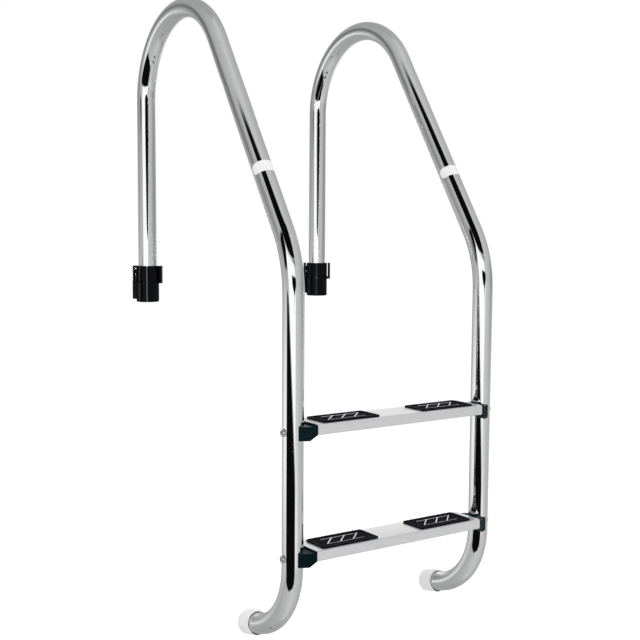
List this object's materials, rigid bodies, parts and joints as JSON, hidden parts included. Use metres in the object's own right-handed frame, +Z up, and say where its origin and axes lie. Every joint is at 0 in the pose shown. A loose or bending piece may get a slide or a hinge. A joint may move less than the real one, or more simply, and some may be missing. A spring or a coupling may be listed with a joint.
{
  "type": "pool ladder",
  "caption": "Pool ladder of bent stainless tube with folded treads, anti-slip pads, soft wall bumpers and clamping deck sockets.",
  "frame": {"origin": "midway between the axes of the two deck sockets, at deck level (the sockets' rims)", "axes": "+Z up, +X from the left rail to the right rail as seen from the water, +Y away from the water over the deck"},
  "size_m": [0.5592, 0.7067, 1.349],
  "materials": {
    "polished_stainless": "mirror polished tube",
    "satin_stainless": "satin sheet",
    "stainless_fastener": "bright turned fasteners",
    "black_moulding": "glossy moulded socket",
    "black_bracket": "glossy moulded bracket",
    "black_grip": "fine ribbed anti-slip surface",
    "white_cap": "soft translucent cap",
    "wedge_nylon": "moulded wedge"
  },
  "bodies": {
    "deck_sockets": {"left_deck_socket": "black_moulding", "right_deck_socket": "black_moulding"},
    "ladder": {"left_handrail": "polished_stainless", "left_bumper": "white_cap", "right_handrail": "polished_stainless", "right_bumper": "white_cap", "upper_tread": "satin_stainless", "upper_left_pad": "black_grip", "upper_left_bracket": "black_bracket", "upper_left_washer": "stainless_fastener", "upper_left_bolt": "stainless_fastener", "upper_left_nut": "stainless_fastener", "upper_right_pad": "black_grip", "upper_right_bracket": "black_bracket", "upper_right_washer": "stainless_fastener", "upper_right_bolt": "stainless_fastener", "upper_right_nut": "stainless_fastener", "lower_tread": "satin_stainless", "lower_left_pad": "black_grip", "lower_left_bracket": "black_bracket", "lower_left_washer": "stainless_fastener", "lower_left_bolt": "stainless_fastener", "lower_left_nut": "stainless_fastener", "lower_right_pad": "black_grip", "lower_right_bracket": "black_bracket", "lower_right_washer": "stainless_fastener", "lower_right_bolt": "stainless_fastener", "lower_right_nut": "stainless_fastener"},
    "left_clamp_screw": {"left_clamp_screw": "stainless_fastener"},
    "left_clamp_wedge": {"left_clamp_wedge": "wedge_nylon"},
    "right_clamp_screw": {"right_clamp_screw": "stainless_fastener"},
    "right_clamp_wedge": {"right_clamp_wedge": "wedge_nylon"}
  },
  "joints": [
    {"name": "ladder_lift", "type": "slide", "parent": "deck_sockets", "child": "ladder", "axis": [0, 0, 1], "range_m": [0, 0.085]},
    {"name": "left_screw_turn", "type": "hinge", "parent": "deck_sockets", "child": "left_clamp_screw", "pos_m": [-0.26865, 0.01656, -0.0097], "axis": [0, 0, 1], "range_deg": [0, 2160]},
    {"name": "left_wedge_slide", "type": "slide", "parent": "deck_sockets", "child": "left_clamp_wedge", "axis": [0, 0, -1], "range_m": [0, 0.0048]},
    {"name": "right_screw_turn", "type": "hinge", "parent": "deck_sockets", "child": "right_clamp_screw", "pos_m": [0.22135, 0.01656, -0.0097], "axis": [0, 0, 1], "range_deg": [0, 2160]},
    {"name": "right_wedge_slide", "type": "slide", "parent": "deck_sockets", "child": "right_clamp_wedge", "axis": [0, 0, -1], "range_m": [0, 0.0048]}
  ],
  "couplings": [
    {"joint": "left_screw_turn", "follows": "left_wedge_slide", "rad_per_m": 7854},
    {"joint": "right_screw_turn", "follows": "right_wedge_slide", "rad_per_m": 7854}
  ]
}
